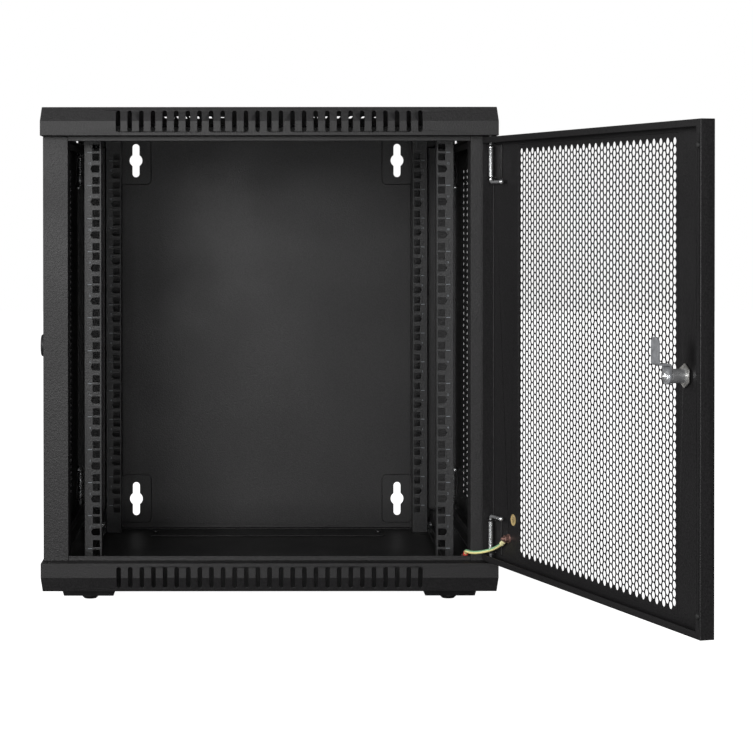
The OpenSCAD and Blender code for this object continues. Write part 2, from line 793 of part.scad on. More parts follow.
// The front lock's cam stands up from its axis, cranked inwards on the way
module door_lock_cam() {
    low_h = 15;
    color(plated) on_door() translate([door_end - lock_in, -door_face, z_mid]) {
        lock_plug(barrel_len);
        translate([0, door_sheet + barrel_len, 0]) {
            translate([-cam_w / 2, 0.2, -cam_w / 2]) cube([cam_w, cam_t, low_h + cam_w / 2]);
            translate([-cam_w / 2, 0.2, low_h - cam_t]) cube([cam_w, cam_crank, cam_t]);
            translate([-cam_w / 2, cam_crank + 0.2 - cam_t, low_h - cam_t])
                cube([cam_w, cam_t, cam_len - low_h + cam_t]);
        }
    }
}

// The bolt through the door for the earth wire, with its nuts on the inside
module door_earth_stud() {
    color(bronze) on_door() translate([stud_out, -door_face, z0 + stud_up]) rotate([-90, 0, 0]) {
        translate([0, 0, -2]) cylinder(d = 9, h = 2);
        cylinder(d = 5, h = door_sheet + 11);
        translate([0, 0, door_sheet]) cylinder(d = 12, h = 1.4);
        translate([0, 0, door_sheet + 3]) cylinder(d = 10, h = 4, $fn = 6);
    }
}

// The door's lug, whose barrel slopes down towards the hinge
module earth_lug_door() {
    color(earth_yellow) on_door() translate([stud_out, -door_face + door_sheet + 1.6, z0 + stud_up])
        rotate([-90, 0, 0]) rotate([0, 0, 150]) {
            ring_lug(10);
            translate([8, 0, 2.2]) rotate([0, 90, 0]) cylinder(d = lug_d(), h = lug_barrel + 2);
        }
}

// The round marker above the door's stud
module door_earth_mark() {
    color(earth_yellow) on_door() translate([stud_out + 14, -door_face + door_sheet, z0 + stud_up + 26])
        rotate([-90, 0, 0]) cylinder(d = 15, h = 0.5);
}

// Places what is drawn with x from the side door's axis forwards and y from the axis inwards
module on_side(s) {
    side(s) translate([side_hinge_x, side_hinge_y, 0]) rotate([0, 0, -90]) scale([1, -1, 1]) children();
}

module side_door(s) {
    skin = side_t / 2;
    height = door_high - door_low;
    color(powder_black) on_side(s) difference() {
        translate([-side_hinge_in, -skin, door_low]) cube([side_len, side_t, height]);
        translate([-side_hinge_in + door_sheet, -skin + door_sheet, door_low + door_sheet])
            cube([side_len - 2 * door_sheet, side_t, height - 2 * door_sheet]);
        translate([side_hinge_y - back + cab_d / 2, 0, z_mid]) cut_y(-skin - over, door_sheet + 2 * over)
            for (c = [0:vent_cols - 1]) for (r = [0:vent_rows - 1])
                translate([(c - (vent_cols - 1) / 2) * vent_col_pitch,
                        (r - (vent_rows - 1) / 2) * vent_row_pitch])
                    rotate(90) obround(vent_len, vent_h);
        for (z = [door_low - over, door_high - end_lip])
            translate([0, 0, z]) cylinder(d = pin_d + 2 * pin_play, h = end_lip + over);
        translate([side_lock_at(), 0, z_mid]) cut_y(-skin - over, door_sheet + 2 * over)
            circle(d = barrel_d + 0.2);
    }
}

function side_lock_at() = side_hinge_y - front - side_lock;

module side_brackets(s) {
    color(powder_black) on_side(s) at_ends(door_high, door_low)
        pin_bracket(side_t / 2 - door_sheet, side_hinge_in - door_sheet);
}

module side_pin(s, end) {
    color(plated) on_side(s) at_ends(door_high, door_low, [end]) hinge_pin();
}

module side_spring(s, end) {
    color(plated) on_side(s) at_ends(door_high, door_low, [end]) hinge_spring();
}

module side_lock_barrel(s) {
    color(rubber_black) on_side(s) translate([side_lock_at(), -side_t / 2, z_mid]) {
        lock_barrel(side_barrel());
        rotate([-90, 0, 0]) translate([0, 0, -10]) difference() {
            cylinder(d = barrel_d + 14, h = 10);
            translate([0, 0, -over]) cylinder(d = barrel_d + 7, h = 12);
        }
        translate([0, door_sheet, 0]) rotate([-90, 0, 0]) difference() {
            cylinder(d = 27, h = 3, $fn = 6);
            translate([0, 0, -over]) cylinder(d = barrel_d - 1, h = 5);
        }
    }
}

// A side lock's barrel ends where its cam just clears the inside of the post's wall
function side_barrel() = side_hinge_x - rebate_x + sheet + 0.3 + side_t / 2 - door_sheet;

// A side lock's cam is straight, and stands up from its axis
module side_cam(s) {
    color(plated) on_side(s) translate([side_lock_at(), -side_t / 2, z_mid]) {
        lock_plug(side_barrel());
        translate([-side_cam_w / 2, door_sheet + side_barrel() + 0.2, -side_cam_w / 2])
            cube([side_cam_w, cam_t, side_cam_len + side_cam_w / 2]);
    }
}

base_cover();
top_cover();
back_panel();
front_post(-1);  // post_front_left
front_post(1);  // post_front_right
post_end_plates();
rear_post(-1);  // post_rear_left
rear_post(1);  // post_rear_right
cross_member(ledge_high, -1);  // cross_member_top
cross_member(ledge_low, 1);  // cross_member_bottom
side_bar(-1, ledge_high, -1);  // side_bar_top_left
side_bar(1, ledge_high, -1);  // side_bar_top_right
side_bar(-1, ledge_low, 1);  // side_bar_bottom_left
side_bar(1, ledge_low, 1);  // side_bar_bottom_right
rack_rail(-1, false);  // rail_front_left
rack_rail(1, false);  // rail_front_right
rack_rail(-1, true);  // rail_rear_left
rack_rail(1, true);  // rail_rear_right
rail_bar(-1, z1 - sheet, -1);  // rail_bar_top_left
rail_bar(1, z1 - sheet, -1);  // rail_bar_top_right
rail_bar(-1, z0 + sheet, 1);  // rail_bar_bottom_left
rail_bar(1, z0 + sheet, 1);  // rail_bar_bottom_right
rail_bolts();
frame_screws();
cable_plates();
foot_blocks();
foot_pads();
earth_post();
earth_lug_frame();
earth_wire();
door_skin();
door_mesh();
door_pin_brackets();
door_buffers();
door_lock_barrel();
door_lock_nut();
door_lock_cam();
door_earth_stud();
door_earth_mark();
earth_lug_door();
door_pin(1);  // door_pin_top
door_pin(0);  // door_pin_bottom
door_spring(1);  // door_spring_top
door_spring(0);  // door_spring_bottom
side_door(-1);  // side_door_left
side_door(1);  // side_door_right
side_brackets(-1);  // side_brackets_left
side_brackets(1);  // side_brackets_right
side_lock_barrel(-1);  // side_lock_left
side_lock_barrel(1);  // side_lock_right
side_cam(-1);  // side_cam_left
side_cam(1);  // side_cam_right
side_pin(-1, 1);  // side_pin_top_left
side_pin(1, 1);  // side_pin_top_right
side_pin(-1, 0);  // side_pin_bottom_left
side_pin(1, 0);  // side_pin_bottom_right
side_spring(-1, 1);  // side_spring_top_left
side_spring(1, 1);  // side_spring_top_right
side_spring(-1, 0);  // side_spring_bottom_left
side_spring(1, 0);  // side_spring_bottom_right
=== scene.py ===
# Looks for a small network cabinet: powder-coated sheet metal, a perforated door and bright hardware.
import json
import math

import bmesh
import bpy
from mathutils import Matrix, Vector


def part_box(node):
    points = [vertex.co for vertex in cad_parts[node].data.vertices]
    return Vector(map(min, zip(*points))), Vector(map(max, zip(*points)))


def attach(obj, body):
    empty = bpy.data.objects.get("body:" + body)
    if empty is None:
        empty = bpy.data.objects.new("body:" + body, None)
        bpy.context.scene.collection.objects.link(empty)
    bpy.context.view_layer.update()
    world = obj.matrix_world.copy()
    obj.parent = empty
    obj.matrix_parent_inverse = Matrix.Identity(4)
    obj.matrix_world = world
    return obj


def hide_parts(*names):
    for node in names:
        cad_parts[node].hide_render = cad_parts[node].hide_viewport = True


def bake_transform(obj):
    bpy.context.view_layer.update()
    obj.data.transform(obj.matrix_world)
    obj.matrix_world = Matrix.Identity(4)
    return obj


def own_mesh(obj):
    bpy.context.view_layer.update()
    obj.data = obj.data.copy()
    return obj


mm = 0.001
scene = bpy.context.scene
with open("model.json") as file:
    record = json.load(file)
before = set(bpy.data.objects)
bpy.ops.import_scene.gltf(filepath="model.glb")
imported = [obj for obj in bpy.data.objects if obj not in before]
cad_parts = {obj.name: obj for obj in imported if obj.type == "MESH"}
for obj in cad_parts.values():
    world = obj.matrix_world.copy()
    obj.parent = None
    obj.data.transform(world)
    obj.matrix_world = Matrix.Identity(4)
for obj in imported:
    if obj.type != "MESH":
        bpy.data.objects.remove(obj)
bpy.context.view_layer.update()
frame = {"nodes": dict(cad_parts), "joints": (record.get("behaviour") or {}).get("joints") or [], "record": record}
nodes = frame["nodes"]
joints = {j["name"]: j for j in frame["joints"]}
up = Vector((0, 0, 1))
print("frame loaded:", len(nodes), "nodes")

camera = {
    "place": (-22.3, -3268, 511),  # mm
    "turn": (89.38, 0.04, 0),  # degrees
    "lens": 108.55,
    "shift": (0.1649, -0.1792),
}

lights = {
    "front": {"place": (-1540, -5940, 1364), "aim": (-60, -200, 330), "size": (1540, 1320), "power": 156},
    "low": {"place": (0, -5400, 190), "aim": (0, -200, 330), "size": (1400, 340), "power": 27},
    "high": {"place": (0, -5400, 3070), "aim": (0, -200, 330), "size": (1800, 1800), "power": 28},
    "right": {"place": (1800, -5200, 870), "aim": (0, -200, 330), "size": (1400, 1800), "power": 11},
    "left": {"place": (-2200, -700, 700), "aim": (0, -200, 330), "size": (1200, 1200), "power": 31},
}

coat = {
    "black": (0.0092, 0.0088, 0.0092, 1),
    "shine": 0.27,
    "rough": 0.40,
    "grain": 520,  # bumps of about two millimetres
    "bump": 0.00026,
    "mottle": 9.0,
    "bumpTopHighlight": 2.3,  # painted highlight: how much lighter the tops of the bumps are painted
    "rails": (0.014, 0.014, 0.0145, 1),
    "railRough": 0.36,
}


# ---------- small helpers

def makeObject(name, bm, material, body, replaced=()):
    mesh = bpy.data.meshes.new(name)
    bm.to_mesh(mesh)
    bm.free()
    piece = bpy.data.objects.new(name, mesh)
    scene.collection.objects.link(piece)
    mesh.materials.append(material)
    if body:
        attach(piece, body)
    if replaced:
        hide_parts(*replaced)
    return piece


def smoothByAngle(piece, degrees=35):
    # Shades smooth and marks the edges sharper than the angle
    mesh = piece.data
    bm = bmesh.new()
    bm.from_mesh(mesh)
    for face in bm.faces:
        face.smooth = True
    for edge in bm.edges:
        edge.smooth = edge.calc_face_angle(0) < math.radians(degrees)
    bm.to_mesh(mesh)
    bm.free()


def moveBy(bm, geom, offset):
    verts = [g for g in geom if isinstance(g, bmesh.types.BMVert)]
    bmesh.ops.translate(bm, verts=verts, vec=offset)


def facesOf(geom):
    return [g for g in geom if isinstance(g, bmesh.types.BMFace)]


def pushFaces(bm, faces, offset):
    # Extrudes the faces and moves the new ones
    grown = bmesh.ops.extrude_face_region(bm, geom=faces)["geom"]
    moveBy(bm, grown, offset)
    bmesh.ops.delete(bm, geom=[f for f in faces if f.is_valid], context="FACES_ONLY")


def roundBar(bm, radius, start, axis, lengths, sides=24):
    # Grows a stepped round bar along axis from a list of (radius, step)
    turn = Vector(axis).to_track_quat("Z", "Y").to_matrix().to_4x4()
    place = Matrix.Translation(start) @ turn
    circle = bmesh.ops.create_circle(bm, cap_ends=True, segments=sides, radius=radius, matrix=place)
    face = next(iter({f for v in circle["verts"] for f in v.link_faces}))
    bmesh.ops.duplicate(bm, geom=[face])
    along = Vector(axis).normalized()
    now = radius
    centre = Vector(start)
    for newRadius, step in lengths:
        grown = facesOf(bmesh.ops.extrude_face_region(bm, geom=[face])["geom"])
        if face.is_valid:
            bmesh.ops.delete(bm, geom=[face], context="FACES_ONLY")
        face = grown[0]
        centre = centre + along * step
        for v in face.verts:
            v.co += along * step
            v.co = centre + (v.co - centre) * (newRadius / now)
        now = newRadius
    bmesh.ops.remove_doubles(bm, verts=bm.verts, dist=1e-7)


def placeOf(origin, along):
    # Local axes of a door: x along it, y up, z into the cabinet
    x = Vector(along).normalized()
    inward = x.cross(up)
    turn = Matrix((x, up, inward)).transposed().to_4x4()
    return Matrix.Translation(origin) @ turn


def localBox(node, place):
    back = place.inverted()
    points = [back @ v.co for v in nodes[node].data.vertices]
    low = Vector([min(p[i] for p in points) for i in range(3)])
    high = Vector([max(p[i] for p in points) for i in range(3)])
    return low, high


hinge = joints["front_door_hinge"]
openAngle = math.radians(-hinge["range_deg"][0])
doorAlong = Vector((-math.cos(openAngle), -math.sin(openAngle), 0))
doorPlace = placeOf((hinge["pos_m"][0], hinge["pos_m"][1], 0), doorAlong)
sideHinge = joints["side_door_right_hinge"]
sidePlace = placeOf((sideHinge["pos_m"][0], sideHinge["pos_m"][1], 0), (0, -1, 0))
mirrorX = Matrix.Scale(-1, 4, (1, 0, 0))


# ---------- materials

def newMaterial(name, color, rough, metal=0.0):
    material = bpy.data.materials.new(name)
    material.use_nodes = True
    tree = material.node_tree
    shader = tree.nodes["Principled BSDF"]
    shader.inputs["Base Color"].default_value = color
    shader.inputs["Roughness"].default_value = rough
    shader.inputs["Metallic"].default_value = metal
    return material, tree, shader


def noiseNode(tree, scale, detail=2.0, rough=0.5):
    where = tree.nodes.new("ShaderNodeTexCoord")
    noise = tree.nodes.new("ShaderNodeTexNoise")
    noise.inputs["Scale"].default_value = scale
    noise.inputs["Detail"].default_value = detail
    noise.inputs["Roughness"].default_value = rough
    tree.links.new(where.outputs["Object"], noise.inputs["Vector"])
    return noise


def rangeNode(tree, source, low, high):
    # Stretches the middle of a noise to run from low to high
    node = tree.nodes.new("ShaderNodeMapRange")
    node.inputs["From Min"].default_value = 0.3
    node.inputs["From Max"].default_value = 0.7
    node.inputs["To Min"].default_value = low
    node.inputs["To Max"].default_value = high
    tree.links.new(source, node.inputs["Value"])
    return node.outputs["Result"]


def mixColors(tree, factor, first, second):
    node = tree.nodes.new("ShaderNodeMix")
    node.data_type = "RGBA"
    node.inputs["A"].default_value = first
    node.inputs["B"].default_value = second
    tree.links.new(factor, node.inputs["Factor"])
    return node.outputs["Result"]


def addBump(tree, shader, height, depth):
    bump = tree.nodes.new("ShaderNodeBump")
    bump.inputs["Strength"].default_value = 1.0
    bump.inputs["Distance"].default_value = depth
    tree.links.new(height, bump.inputs["Height"])
    tree.links.new(bump.outputs["Normal"], shader.inputs["Normal"])


def powderCoat(name, color, rough):
    # Fine orange-peel bumps with their tops painted lighter as a painted highlight, and a faint mottle in gloss
    material, tree, shader = newMaterial(name, color, rough)
    shader.inputs["Specular IOR Level"].default_value = coat["shine"]
    fine = noiseNode(tree, coat["grain"], 3.0)
    broad = noiseNode(tree, coat["mottle"], 3.0)
    # Painted highlight: the base colour runs lighter on the tops of the bumps, following the same noise that
    # raises them
    lighter = tuple(c * coat["bumpTopHighlight"] for c in color[:3]) + (1,)
    tone = rangeNode(tree, fine.outputs["Fac"], 0.0, 1.0)
    tree.links.new(mixColors(tree, tone, color, lighter), shader.inputs["Base Color"])
    gloss = rangeNode(tree, broad.outputs["Fac"], rough - 0.03, rough + 0.04)
    tree.links.new(gloss, shader.inputs["Roughness"])
    addBump(tree, shader, fine.outputs["Fac"], coat["bump"])
    return material


plating = {"clouds": 160, "darker": 0.84, "bump": 0.000004}


def brightMetal(name, color, rough, metal):
    # Plated metal with small clouds in its tone and gloss
    material, tree, shader = newMaterial(name, color, rough, metal)
    clouds = noiseNode(tree, plating["clouds"], 3.0)
    darker = tuple(c * plating["darker"] for c in color[:3]) + (1,)
    tree.links.new(mixColors(tree, rangeNode(tree, clouds.outputs["Fac"], 0, 1), darker, color),
                   shader.inputs["Base Color"])
    gloss = rangeNode(tree, clouds.outputs["Fac"], rough * 0.8, rough * 1.25)
    tree.links.new(gloss, shader.inputs["Roughness"])
    addBump(tree, shader, clouds.outputs["Fac"], plating["bump"])
    return material


def moulded(name, color, rough, depth=0.00004):
    # Plastic or rubber with a fine tool texture
    material, tree, shader = newMaterial(name, color, rough)
    grains = noiseNode(tree, 1500, 2.0)
    clouds = noiseNode(tree, 60, 3.0)
    lighter = tuple(min(1, c * 1.25 + 0.004) for c in color[:3]) + (1,)
    tree.links.new(mixColors(tree, rangeNode(tree, clouds.outputs["Fac"], 0, 1), color, lighter),
                   shader.inputs["Base Color"])
    gloss = rangeNode(tree, clouds.outputs["Fac"], rough - 0.05, rough + 0.08)
    tree.links.new(gloss, shader.inputs["Roughness"])
    addBump(tree, shader, grains.outputs["Fac"], depth)
    return material


blackCoat = powderCoat("blackCoat", coat["black"], coat["rough"])
railCoat = powderCoat("railCoat", coat["rails"], coat["railRough"])
zinc = brightMetal("zinc", (0.86, 0.87, 0.88, 1), 0.26, 0.8)
camZinc = brightMetal("camZinc", (0.42, 0.43, 0.45, 1), 0.40, 0.5)
dullZinc = brightMetal("dullZinc", (0.46, 0.45, 0.43, 1), 0.42, 0.55)
copperPlate = brightMetal("copperPlate", (0.36, 0.21, 0.18, 1), 0.35, 0.7)
blackScrews = moulded("blackScrews", (0.011, 0.011, 0.0115, 1), 0.35)
blackPlastic = moulded("blackPlastic", (0.009, 0.009, 0.0095, 1), 0.38)
blackRubber = moulded("blackRubber", (0.008, 0.008, 0.008, 1), 0.6)
redSleeve = moulded("redSleeve", (0.55, 0.02, 0.015, 1), 0.35)
wireYellow = moulded("wireYellow", (0.84, 0.74, 0.32, 1), 0.35)
wireGreen = moulded("wireGreen", (0.24, 0.46, 0.26, 1), 0.35)
lugYellow = moulded("lugYellow", (0.92, 0.80, 0.44, 1), 0.4)
markGold = moulded("markGold", (0.46, 0.34, 0.15, 1), 0.35)
markBlack = moulded("markBlack", (0.03, 0.025, 0.02, 1), 0.4)
printGrey = moulded("printGrey", (0.19, 0.21, 0.23, 1), 0.5, 0.00001)

slotLooks = {
    "powder_black": blackCoat,
    "rail_black": railCoat,
    "bright_zinc": zinc,
    "black_screws": blackScrews,
    "black_plastic": blackPlastic,
    "black_rubber": blackRubber,
    "copper": copperPlate,
    "red_sleeve": redSleeve,
    "yellow_green": wireYellow,
    "earth_yellow": lugYellow,
}

edges = {"sheet": 0.6, "rail": 0.5, "small": 0.3, "foot": 1.2}  # width of the softened edges, mm


def dressNodes():
    # Every carried-over node gets its finish and softened edges
    wide = {"foot_blocks": "foot", "foot_pads": "small", "rail_bolts": "small", "frame_screws": "small"}
    for part in frame["record"]["subparts"]:
        node = nodes[part["node"]]
        node.data.materials.clear()
        node.data.materials.append(slotLooks[part["material_slot"]])
        kind = wide.get(part["node"], "rail" if part["node"].startswith("rail") else "sheet")
        weld = node.modifiers.new("weld", "WELD")
        weld.merge_threshold = 0.00001
        bevel = node.modifiers.new("edges", "BEVEL")
        bevel.width = edges[kind] * mm
        bevel.segments = 2
        bevel.limit_method = "ANGLE"
        bevel.angle_limit = math.radians(40)
        bevel.profile = 0.5
        bevel.use_clamp_overlap = False


dressNodes()
print("nodes dressed")

# ---------- front door: the perforated sheet

perforation = {"columns": 51, "rows": 54, "pitch": 9.6 * mm, "hole": 8.7 * mm, "round": 0.28}


def perforatedSheet():
    low, high = localBox("door_mesh", doorPlace)
    pitch = perforation["pitch"]
    step = pitch * math.cos(math.radians(30))
    bm = bmesh.new()
    sixth = Matrix.Rotation(math.radians(30), 4, "Z")
    cell = bmesh.ops.create_circle(bm, segments=6, radius=pitch / math.sqrt(3), matrix=sixth, cap_ends=True)
    face = next(iter({f for v in cell["verts"] for f in v.link_faces}))
    bmesh.ops.inset_individual(bm, faces=[face], thickness=(pitch - perforation["hole"]) / 2,
                               use_even_offset=True)
    corner = perforation["round"] * perforation["hole"] / 2
    bmesh.ops.bevel(bm, geom=face.verts[:], affect="VERTICES", offset=corner, offset_type="OFFSET",
                    segments=1, profile=0.5, material=-1)
    hole = min(bm.faces, key=lambda f: f.calc_center_median().length)
    bmesh.ops.delete(bm, geom=[hole], context="FACES_ONLY")
    column = bm.verts[:] + bm.edges[:] + bm.faces[:]
    for row in range(1, perforation["rows"]):
        copy = bmesh.ops.duplicate(bm, geom=column)["geom"]
        moveBy(bm, copy, (0, row * pitch, 0))
    column = bm.verts[:] + bm.edges[:] + bm.faces[:]
    for i in range(1, perforation["columns"]):
        copy = bmesh.ops.duplicate(bm, geom=column)["geom"]
        moveBy(bm, copy, (i * step, -(i % 2) * pitch / 2, 0))
    bmesh.ops.remove_doubles(bm, verts=bm.verts, dist=0.00002)
    width = (perforation["columns"] - 1) * step
    height = (perforation["rows"] - 1.5) * pitch
    middle = (low + high) / 2
    moveBy(bm, bm.verts, (middle.x - width / 2, middle.y - height / 2, low.z))
    rim = [e for e in bm.edges if e.is_boundary and e.calc_length() > pitch * 0.4]
    corners = [bm.verts.new((x, y, low.z)) for x, y in
               ((low.x, low.y), (high.x, low.y), (high.x, high.y), (low.x, high.y))]
    rim += [bm.edges.new((corners[i], corners[(i + 1) % 4])) for i in range(4)]
    bmesh.ops.triangle_fill(bm, edges=rim, use_beauty=True, normal=(0, 0, 1))
    bmesh.ops.recalc_face_normals(bm, faces=bm.faces)
    if sum(f.normal.z for f in bm.faces) < 0:
        bmesh.ops.reverse_faces(bm, faces=bm.faces)
    grown = bmesh.ops.extrude_face_region(bm, geom=bm.faces[:], use_keep_orig=True)["geom"]
    moveBy(bm, grown, (0, 0, high.z - low.z))
    bmesh.ops.recalc_face_normals(bm, faces=bm.faces)
    bmesh.ops.transform(bm, matrix=doorPlace, verts=bm.verts)
    print("perforated sheet:", len(bm.faces), "faces")
    makeObject("perforated_sheet", bm, blackCoat, "front_door", ["door_mesh"])


perforatedSheet()

# ---------- hinge pins and their springs

pinSizes = {"rod": 4 * mm, "bend": 4 * mm, "handle": 34 * mm, "down": 59 * mm, "reach": 8 * mm,
            "collar": 5.6 * mm, "collarDown": 14 * mm, "collarHeight": 1.5 * mm, "bead": 5.8 * mm}
coilSizes = {"wire": 0.9 * mm, "outer": 6.2 * mm, "turns": 21, "length": 38 * mm, "end": 52 * mm}


def hingePin(name, node, body, place, end, mirrored=False):
    # Drawn hanging under the end of its door, with the handle along x
    s = pinSizes
    bm = bmesh.new()
    radius = s["rod"] / 2
    roundBar(bm, radius, (0, -s["down"] + s["bend"], 0), (0, 1, 0),
             [(radius, s["down"] - s["bend"] + s["reach"] - 1 * mm), (radius - 0.7 * mm, 1 * mm)], 20)
    low = min(bm.faces, key=lambda f: f.calc_center_median().y)
    turned = bmesh.ops.spin(bm, geom=[low], cent=(s["bend"], -s["down"] + s["bend"], 0), axis=(0, 0, 1),
                            angle=math.pi / 2, steps=8, use_duplicate=False)["geom_last"]
    last = facesOf(turned)
    pushFaces(bm, last, (s["handle"] - s["bend"], 0, 0))
    bmesh.ops.create_uvsphere(bm, u_segments=20, v_segments=12, radius=s["bead"] / 2,
                              matrix=Matrix.Translation((s["handle"], -s["down"], 0)))
    roundBar(bm, s["collar"] / 2 - 0.3 * mm, (0, -s["collarDown"], 0), (0, 1, 0),
             [(s["collar"] / 2, 0.3 * mm), (s["collar"] / 2, s["collarHeight"] - 0.6 * mm),
              (s["collar"] / 2 - 0.3 * mm, 0.3 * mm)], 24)
    finishOnDoor(bm, place, end, mirrored)
    piece = makeObject(name, bm, zinc, body, [node])
    smoothByAngle(piece)


def finishOnDoor(bm, place, end, mirrored):
    # Hangs the piece under the door's top end, or stands it mirrored on the bottom end
    height, top = end
    if not top:
        bmesh.ops.scale(bm, vec=(1, -1, 1), verts=bm.verts)
    bmesh.ops.translate(bm, vec=(0, height, 0), verts=bm.verts)
    bmesh.ops.transform(bm, matrix=place, verts=bm.verts)
    if mirrored:
        bmesh.ops.transform(bm, matrix=mirrorX, verts=bm.verts)
    bmesh.ops.remove_doubles(bm, verts=bm.verts, dist=1e-6)
    bmesh.ops.recalc_face_normals(bm, faces=bm.faces)


def coilSpring(name, node, body, place, end, mirrored=False):
    s = coilSizes
    radius = (s["outer"] - s["wire"]) / 2
    perTurn = 16
    steps = int(s["turns"] * perTurn)
    rise = (s["length"] - s["wire"]) / steps
    bm = bmesh.new()
    start = Matrix.Translation((radius, -s["end"] + s["wire"] / 2, 0))
    ring = bmesh.ops.create_circle(bm, segments=7, radius=s["wire"] / 2, matrix=start, cap_ends=True)
    face = facesOf({f for v in ring["verts"] for f in v.link_faces})
    bmesh.ops.duplicate(bm, geom=face)
    bmesh.ops.spin(bm, geom=face, cent=(0, -s["end"], 0), axis=(0, 1, 0), dvec=(0, rise, 0),
                   angle=2 * math.pi * s["turns"], steps=steps, use_duplicate=False)
    finishOnDoor(bm, place, end, mirrored)
    piece = makeObject(name, bm, zinc, body, [node])
    smoothByAngle(piece, 60)
    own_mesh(piece)


doorLow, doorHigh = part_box("door_skin")[0].z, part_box("door_skin")[1].z
for word, end in (("top", (doorHigh, True)), ("bottom", (doorLow, False))):
    hingePin(f"hinge_pin_{word}", f"door_pin_{word}", f"front_pin_{word}", doorPlace, end)
    coilSpring(f"hinge_spring_{word}", f"door_spring_{word}", "front_door",
               doorPlace, end)
    for hand in ("left", "right"):
        hingePin(f"side_hinge_pin_{word}_{hand}", f"side_pin_{word}_{hand}", f"side_pin_{word}_{hand}",
                 sidePlace, end, hand == "left")
        coilSpring(f"side_hinge_spring_{word}_{hand}", f"side_spring_{word}_{hand}", f"side_door_{hand}",
                   sidePlace, end, hand == "left")
print("pins and springs made")

# ---------- turned and bent hardware

def turnProfile(bm, points, place=None, sides=32, closed=True):
    # Spins an outline of (radius, height) about z, then puts it in place
    before = set(bm.verts)
    verts = [bm.verts.new((r, 0, h)) for r, h in points]
    lines = [bm.edges.new(pair) for pair in zip(verts, verts[1:])]
    if closed:
        lines.append(bm.edges.new((verts[-1], verts[0])))
    bmesh.ops.spin(bm, geom=verts + lines, cent=(0, 0, 0), axis=(0, 0, 1), angle=2 * math.pi,
                   steps=sides, use_merge=True, use_duplicate=False)
    fresh = [v for v in bm.verts if v not in before]
    bmesh.ops.remove_doubles(bm, verts=fresh, dist=1e-7)
    fresh = [v for v in bm.verts if v not in before]
    if place:
        bmesh.ops.transform(bm, matrix=place, verts=fresh)


def flatRing(bm, outline, holes, height, layers):
    # Fills between an outline and its holes, then raises it in layers of (step, size, look of its rim)
    lines = list({e for ring in (outline, *holes) for v in ring for e in v.link_edges})
    bmesh.ops.triangle_fill(bm, edges=lines, use_beauty=True, normal=(0, 0, 1))
    moveBy(bm, bm.verts, (0, 0, height))
    sheet = bm.faces[:]
    for index, (step, size, look) in enumerate(layers):
        grown = bmesh.ops.extrude_face_region(bm, geom=sheet, use_keep_orig=index == 0)["geom"]
        sheet = facesOf(grown)
        tops = [g for g in grown if isinstance(g, bmesh.types.BMVert)]
        for face in {f for v in tops for f in v.link_faces} - set(sheet):
            face.material_index = look
        for v in tops:
            v.co = Vector((v.co.x * size, v.co.y * size, v.co.z + step))
    bmesh.ops.recalc_face_normals(bm, faces=bm.faces)


def ringOf(bm, radius, sides, centre=(0, 0, 0)):
    place = Matrix.Translation(centre)
    return bmesh.ops.create_circle(bm, segments=sides, radius=radius, matrix=place)["verts"]


def settle(bm, place, mirrored=False):
    bmesh.ops.remove_doubles(bm, verts=bm.verts, dist=1e-7)
    bmesh.ops.transform(bm, matrix=place, verts=bm.verts)
    if mirrored:
        bmesh.ops.transform(bm, matrix=mirrorX, verts=bm.verts)
    bmesh.ops.recalc_face_normals(bm, faces=bm.faces)


def softEdges(piece, width, degrees=35):
    # A live bevel on the sharp edges
    bevel = piece.modifiers.new("edges", "BEVEL")
    bevel.width = width
    bevel.segments = 2
    bevel.limit_method = "ANGLE"
    bevel.angle_limit = math.radians(degrees)
    bevel.profile = 0.5
    smoothByAngle(piece, degrees)


def hexNut(bm, radius, low, high, turn=0.0):
    # A hexagon with its corners knocked off at both ends
    spin = Matrix.Rotation(turn, 4, "Z")
    corner = 0.08 * (high - low)
    ring = bmesh.ops.create_circle(bm, segments=6, radius=radius * 0.96, cap_ends=True,
                                   matrix=Matrix.Translation((0, 0, low)) @ spin)
    face = next(iter({f for v in ring["verts"] for f in v.link_faces}))
    bmesh.ops.duplicate(bm, geom=[face])
    now = 0.96
    for size, step in ((1, corner), (1, high - low - 2 * corner), (0.94, corner)):
        grown = facesOf(bmesh.ops.extrude_face_region(bm, geom=[face])["geom"])
        if face.is_valid:
            bmesh.ops.delete(bm, geom=[face], context="FACES_ONLY")
        face = grown[0]
        for v in face.verts:
            v.co = Vector((v.co.x * size / now, v.co.y * size / now, v.co.z + step))
        now = size


def threadPoints(core, crest, low, high, pitch):
    # Outline of a threaded end, as rings rather than a helix
    points = []
    count = int((high - low) / pitch)
    for i in range(count):
        h = low + i * pitch
        points += [(core, h), (crest, h + pitch * 0.5)]
    return points + [(core, low + count * pitch)]


# ---------- locks

frontLock = {"along": 526.5 * mm, "height": 337.5 * mm, "face": -8 * mm, "body": 8 * mm, "bore": 6 * mm,
             "head": 12 * mm, "proud": 4 * mm, "end": 23.2 * mm, "nut": 13.5 * mm, "nutLow": 1.2 * mm,
             "nutHigh": 4.2 * mm, "ear": 1.2 * mm, "earAt": 10.4 * mm}
frontCam = {"width": 18 * mm, "thick": 2 * mm, "crankUp": 14 * mm, "crankIn": 14 * mm, "length": 43 * mm,
            "low": 9 * mm, "start": 23.4 * mm, "plug": 5.9 * mm, "nut": 5.5 * mm}
sideLock = {"along": 482 * mm, "height": 337.5 * mm, "face": -6 * mm, "collar": 15 * mm, "inner": 11.5 * mm,
            "collarProud": 10 * mm, "camWidth": 11 * mm, "camLength": 49 * mm}


